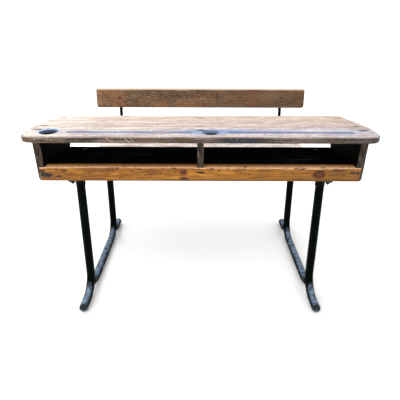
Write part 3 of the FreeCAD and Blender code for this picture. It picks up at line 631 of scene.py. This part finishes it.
def weathered_edge(tree, body, place, edge, fibre, mottle, stained):
    """Grey-brown sides and arrises, painted shade on faces that look down, and pale chipped specks that come
    in clumps.
    """
    up = facing(tree)["Z"]
    side = add(tree, "ShaderNodeMapRange",
               {"Value": up, "From Min": 0.20, "From Max": 0.99, "To Min": 1.0, "To Max": 0.0})
    shallow = add(tree, "ShaderNodeMapRange",
                  {"Value": edge, "From Min": EDGE_BAND, "From Max": EDGE_BAND + 2.0 * MM,
                   "To Min": 1.0, "To Max": 0.0})
    side = add(tree, "ShaderNodeMath", {0: side, 1: shallow}, operation="MULTIPLY")
    streaky = streaks(tree, fibre, mottle)
    greyed = add(tree, "ShaderNodeValToRGB", {"Fac": streaky},
                 stops=((0.43, "#171210"), (0.50, "#433932"), (0.57, "#7B6C61")))
    creep = add(tree, "ShaderNodeMath", {0: streaky, 1: -60.0 * MM, 2: edge}, operation="MULTIPLY_ADD")
    # The dark coat on faces that look down is painted shade.
    body = layered(tree, body,
                   ("#8C7B72", creep, -16.0 * MM, -32.0 * MM, 0.42),
                   (greyed, side, 0.0, 1.0, 1.0),
                   ("#33281F", up, -0.2, -0.9, 0.8))
    if stained:
        body = edge_stain(tree, body, place, side, mottle)
    # Splinters are about 1 mm wide; they are drawn 2 mm wide so that they show.
    chips = stretched_noise(tree, place, (190.0, 420.0, 420.0), 4.0)
    clumps = add(tree, "ShaderNodeTexNoise", {"Vector": place, "Scale": 7.0, "Detail": 2.0})
    chips = add(tree, "ShaderNodeMath", {0: clumps, 1: 0.25, 2: chips}, operation="MULTIPLY_ADD")
    along = add(tree, "ShaderNodeSeparateXYZ", {"Vector": place}).outputs["X"]
    worse = add(tree, "ShaderNodeMapRange",
                {"Value": along, "From Min": -0.38, "From Max": -0.50, "To Max": 0.07})
    chips = add(tree, "ShaderNodeMath", {0: chips, 1: worse}, operation="ADD")
    return layered(tree, body, ("#C4B8AC", chips, 0.78, 0.82, 0.7, side))


def bleached_pine(name, tilt, pith, warm, right, screw_y=None):
    """Scrubbed, sun-bleached pine: pale cream and pink, with grey-brown summer lines where the soft
    wood has worn away between them, a dry surface, and weathered grey-brown edges.  Warm is the
    board's middle colour, right the one that it turns to at its right end, and screw_y the place of
    its row of screws."""
    lowest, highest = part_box(name)
    half = (highest - lowest) / 2
    half_width = half.y - BOARD_THICK / 2 * math.sin(tilt)
    material, tree = new_finish("bleached_pine_" + name)
    local, latewood, fibre, mottle = plank_grain(tree, name, (-tilt, 0.0, 0.0), 13.0 * MM, pith)
    place = add(tree, "ShaderNodeTexCoord").outputs["Object"]
    along = add(tree, "ShaderNodeSeparateXYZ", {"Vector": place}).outputs["X"]
    base = add(tree, "ShaderNodeValToRGB", {"Fac": mottle},
               stops=((0.36, "#A8938A"), (0.50, warm), (0.64, "#EADDD3")))
    # The soft and hard bands are 2 to 4 mm wide; they are drawn up to 15 mm wide so that they show.
    bands = stretched_noise(tree, local, (11.0, 68.0, 68.0), 6.0, 0.78)
    grit = stretched_noise(tree, local, (70.0, 130.0, 130.0), 3.0, 0.7)
    body = layered(tree, base,
                   (right, along, -0.35, 0.45, 0.75),
                   ("#9A857C", latewood, 0.0, 1.0, 0.5),
                   ("#917B72", bands, 0.51, 0.64, 0.8),
                   ("#F0E4D9", bands, 0.48, 0.36, 0.8),
                   ("#83737A", fibre, 0.54, 0.70, 0.6),
                   ("#917A70", grit, 0.48, 0.64, 0.7))
    edge = arris_distance(tree, local, (half.x, half_width, BOARD_THICK / 2))
    inked = name == "ledge_board"
    if inked:
        body = soaked_ink(tree, body, place, mottle, bands)
    if screw_y is not None:
        body = iron_stain(tree, body, place, fibre, screw_y)
    body = bruised(tree, body, place, fibre, BRUISES[name])
    body = weathered_edge(tree, body, place, edge, fibre, mottle, inked)
    if inked:
        body = scratched(tree, body, place, SCRATCHES)
        body = sunk_ink_sheen_and_shade(tree, body, local, edge, mottle)
    height = add(tree, "ShaderNodeMath", {0: bands, 1: -1.5, 2: fibre}, operation="MULTIPLY_ADD")
    rough = add(tree, "ShaderNodeMapRange", {"Value": bands, "To Min": 0.45, "To Max": 0.75})
    skin(tree, height, 0.5, 0.6 * MM, {"Base Color": body, "Roughness": rough, "Specular IOR Level": 0.25})
    return material


dress(["ledge_board"],
      bleached_pine("ledge_board", 0.0, (0.02, -0.07), "#D5C9C5", "#BEB7C2", -426.8 * MM))
dress(["writing_board_near"],
      bleached_pine("writing_board_near", SLOPE, (-0.03, -0.06), "#D6C5BA", "#B9A59F", -366.9 * MM))
dress(["writing_board_far"],
      bleached_pine("writing_board_far", SLOPE, (0.04, -0.09), "#E0CCBC", "#CFB092", -177.4 * MM))


# ---------------------------------------------------------------------------------------------
# Bench seat.  Two boards of the same scrubbed pine lie on the seat arms, each held by a domed bolt
# through either arm.

# The seat boards' paler colours are painted light, brightening them in the shade under the desk.
dress(["seat_board_front"], bleached_pine("seat_board_front", 0.0, (0.03, -0.08), "#EFE5DE", "#E8DDD8"))
dress(["seat_board_rear"], bleached_pine("seat_board_rear", 0.0, (-0.02, -0.06), "#EFE5DE", "#E8DDD8"))


# ---------------------------------------------------------------------------------------------
# Backrest.  One board of a darker softwood, bolted to two flat bar stays that lean back.  Its varnish
# is brown and dull, the upper edge is rubbed down to bare wood and carries a painted highlight, and a
# short split shows in its face.

BACKREST_LEAN = math.radians(4.0)
SPLIT_X = 97.0 * MM
SPLIT_WANDER = 5.0 * MM
BACKREST_HALF_THICK = 10.0 * MM
BACKREST_HALF_HIGH = 55.0 * MM


def worn_varnished_board():
    """Old brown varnish on softwood: dull satin, darker at the right end, with pale cream along the top,
    partly bare wood where arms have rubbed it and partly a painted highlight."""
    lowest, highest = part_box("backrest_board")
    material, tree = new_finish("worn_varnished_board")
    local, latewood, fibre, mottle = plank_grain(tree, "backrest_board", (-BACKREST_LEAN, 0.0, 0.0),
                                                 9.0 * MM, (0.06, 0.02))
    split = add(tree, "ShaderNodeSeparateXYZ", {"Vector": local}).outputs
    base = add(tree, "ShaderNodeValToRGB", {"Fac": mottle},
               stops=((0.36, "#48331F"), (0.50, "#694D34"), (0.64, "#8B6B4C")))
    # Flecks of bare wood in the worn varnish are 1 to 2 mm; they are drawn 4 mm wide so that they show.
    flecks = stretched_noise(tree, local, (45.0, 230.0, 230.0), 4.0, 0.7)
    patches = add(tree, "ShaderNodeTexNoise", {"Vector": local, "Scale": 5.0, "Detail": 3.0})
    body = layered(tree, base,
                   ("#4A3322", latewood, 0.0, 1.0, 0.5),
                   ("#A88869", flecks, 0.50, 0.66, 0.6),
                   ("#35241A", flecks, 0.46, 0.32, 0.7),
                   ("#3A281C", fibre, 0.52, 0.74, 0.5),
                   ("#85502C", patches, 0.48, 0.66, 0.4),
                   ("#49321F", split["X"], -0.5, 0.45, 0.6))
    off = add(tree, "ShaderNodeMath", {0: mottle, 1: SPLIT_WANDER, 2: split["X"]}, operation="MULTIPLY_ADD")
    off = add(tree, "ShaderNodeMath", {0: off, 1: SPLIT_X + SPLIT_WANDER / 2}, operation="SUBTRACT")
    off = add(tree, "ShaderNodeMath", {0: off}, operation="ABSOLUTE")
    reach = add(tree, "ShaderNodeMath", {0: split["Z"]}, operation="ABSOLUTE")
    reach = add(tree, "ShaderNodeMapRange",
                {"Value": reach, "From Min": 24.0 * MM, "From Max": 32.0 * MM, "To Min": 1.0, "To Max": 0.0})
    edge = arris_distance(tree, local,
                          ((highest.x - lowest.x) / 2, BACKREST_HALF_THICK, BACKREST_HALF_HIGH))
    rubbed_and_highlit = add(tree, "ShaderNodeMath", {0: mottle, 1: -20.8 * MM, 2: edge}, operation="MULTIPLY_ADD")
    rubbed_and_highlit = add(tree, "ShaderNodeMapRange",
                 {"Value": rubbed_and_highlit, "From Min": -4.8 * MM, "From Max": 0.0, "To Min": 1.0, "To Max": 0.0})
    upper = add(tree, "ShaderNodeMapRange",
                {"Value": split["Z"], "From Min": 44.0 * MM, "From Max": 50.0 * MM})
    rubbed_and_highlit = add(tree, "ShaderNodeMath", {0: rubbed_and_highlit, 1: upper}, operation="MULTIPLY")
    # Upward faces take the pale coat as a painted highlight; along the upper edge it is partly bare rubbed
    # wood and partly a painted highlight.
    top = add(tree, "ShaderNodeMapRange", {"Value": facing(tree)["Z"], "From Min": 0.5, "From Max": 0.9})
    bare = add(tree, "ShaderNodeMath", {0: rubbed_and_highlit, 1: top}, operation="MAXIMUM")
    body = layered(tree, body,
                   ("#20150F", off, 2.8 * MM, 1.4 * MM, 0.9, reach),
                   ("#CBB8A6", bare, 0.0, 1.0, 1.0))
    rough = add(tree, "ShaderNodeMapRange", {"Value": mottle, "To Min": 0.4, "To Max": 0.68})
    height = add(tree, "ShaderNodeMath", {0: fibre, 1: latewood}, operation="ADD")
    skin(tree, height, 0.35, 0.4 * MM, {"Base Color": body, "Roughness": rough, "Specular IOR Level": 0.25})
    return material


dress(["backrest_board"], worn_varnished_board())


# ---------------------------------------------------------------------------------------------
# Fasteners.  Slotted steel wood screws hold the top and the rail; domed bolts with hexagon nuts hold
# the shelf, the seat and the backrest to the frame.  The shelf's bolts and the nuts under the arms were
# painted with it; the rest have gone dark brown with old rust.

def rusted_steel():
    """Plain steel with a thin skin of old rust: dark brown-black, with dull metal where it is thinnest."""
    material, tree = new_finish("dark_rusted_steel")
    place = add(tree, "ShaderNodeTexCoord").outputs["Object"]
    # Grains of rust are well under 1 mm; they are drawn 2 mm wide so that they show.
    crust = add(tree, "ShaderNodeTexNoise",
                {"Vector": place, "Scale": 420.0, "Detail": 5.0, "Roughness": 0.65})
    rust = add(tree, "ShaderNodeValToRGB", {"Fac": crust},
               stops=((0.35, "#1E1916"), (0.52, "#352820"), (0.70, "#5B4030")))
    bare = add(tree, "ShaderNodeMapRange",
               {"Value": crust, "From Min": 0.42, "From Max": 0.58, "To Min": 0.75, "To Max": 0.1})
    rough = add(tree, "ShaderNodeMapRange",
                {"Value": crust, "From Min": 0.35, "From Max": 0.65, "To Min": 0.45, "To Max": 0.8})
    skin(tree, crust, 0.5, 0.2 * MM, {"Base Color": rust, "Metallic": bare, "Roughness": rough})
    return material


dress(["top_screws", "rail_screws", "seat_bolts", "backrest_bolts", "backrest_nuts"], rusted_steel())
dress(["shelf_bolts", "frame_nuts"], enamel)


# ---------------------------------------------------------------------------------------------
# Studio.  A plain floor of matt pale card under soft light: a large panel in front, a smaller one
# behind, both to the left, and a white sky all round.

FLOOR_REACH = 40.0


def studio_floor():
    """Matt pale card."""
    mesh = bpy.data.meshes.new("studio_floor")
    corners = [(x * FLOOR_REACH, y * FLOOR_REACH, 0.0) for x, y in ((-1, -1), (1, -1), (1, 1), (-1, 1))]
    mesh.from_pydata(corners, [], [(0, 1, 2, 3)])
    floor = bpy.data.objects.new("studio_floor", mesh)
    bpy.context.scene.collection.objects.link(floor)
    material, tree = new_finish("matt_pale_card")
    shader = add(tree, "ShaderNodeBsdfPrincipled",
                 {"Base Color": "#FFFFFF", "Roughness": 0.9, "Specular IOR Level": 0.2})
    add(tree, "ShaderNodeOutputMaterial", {"Surface": shader})
    mesh.materials.append(material)


def soft_panel(name, place, target, size, power, colour):
    """A square panel light that faces its target."""
    lamp = bpy.data.lights.new(name, "AREA")
    lamp.shape = "SQUARE"
    lamp.size = size
    lamp.energy = power
    lamp.color = linear(colour)[:3]
    holder = bpy.data.objects.new(name, lamp)
    holder.location = place
    holder.rotation_euler = (Vector(target) - Vector(place)).to_track_quat("-Z", "Y").to_euler()
    bpy.context.scene.collection.objects.link(holder)


studio_floor()
soft_panel("front_panel", (-1.6, -3.2, 3.0), (0.0, 0.0, 0.4), 2.6, 45.0, "#FFFBF4")
soft_panel("back_panel", (-1.6, 2.2, 2.4), (-0.1, 0.1, 0.5), 1.8, 50.0, "#FFFDF8")
sky = bpy.data.worlds.new("studio")
bpy.context.scene.world = sky
sky.use_nodes = True
sky.node_tree.nodes.clear()
air = add(sky.node_tree, "ShaderNodeBackground", {"Color": "#FFFFFF", "Strength": 1.2})
add(sky.node_tree, "ShaderNodeOutputWorld", {"Surface": air})
bpy.context.scene.view_settings.view_transform = "Standard"


# ---------------------------------------------------------------------------------------------
# Camera.  It stands opposite the middle of the desk, 1.15 m out from the ledge and 0.37 m above it,
# and looks down at the desk.

CAMERA_PLACE = (-0.0015, -1.6577, 1.113)
CAMERA_DOWN = math.radians(19.56)
CAMERA_ROLL = math.radians(-0.17)

lens = bpy.data.cameras.new("camera")
lens.sensor_width = 36.0
lens.lens = 33.5
lens.shift_y = -0.125
lens.clip_end = 60.0
camera = bpy.data.objects.new("camera", lens)
camera.matrix_world = (Matrix.Translation(CAMERA_PLACE) @ Matrix.Rotation(math.pi / 2 - CAMERA_DOWN, 4, "X")
                       @ Matrix.Rotation(-CAMERA_ROLL, 4, "Z"))
bpy.context.scene.collection.objects.link(camera)
bpy.context.scene.camera = camera
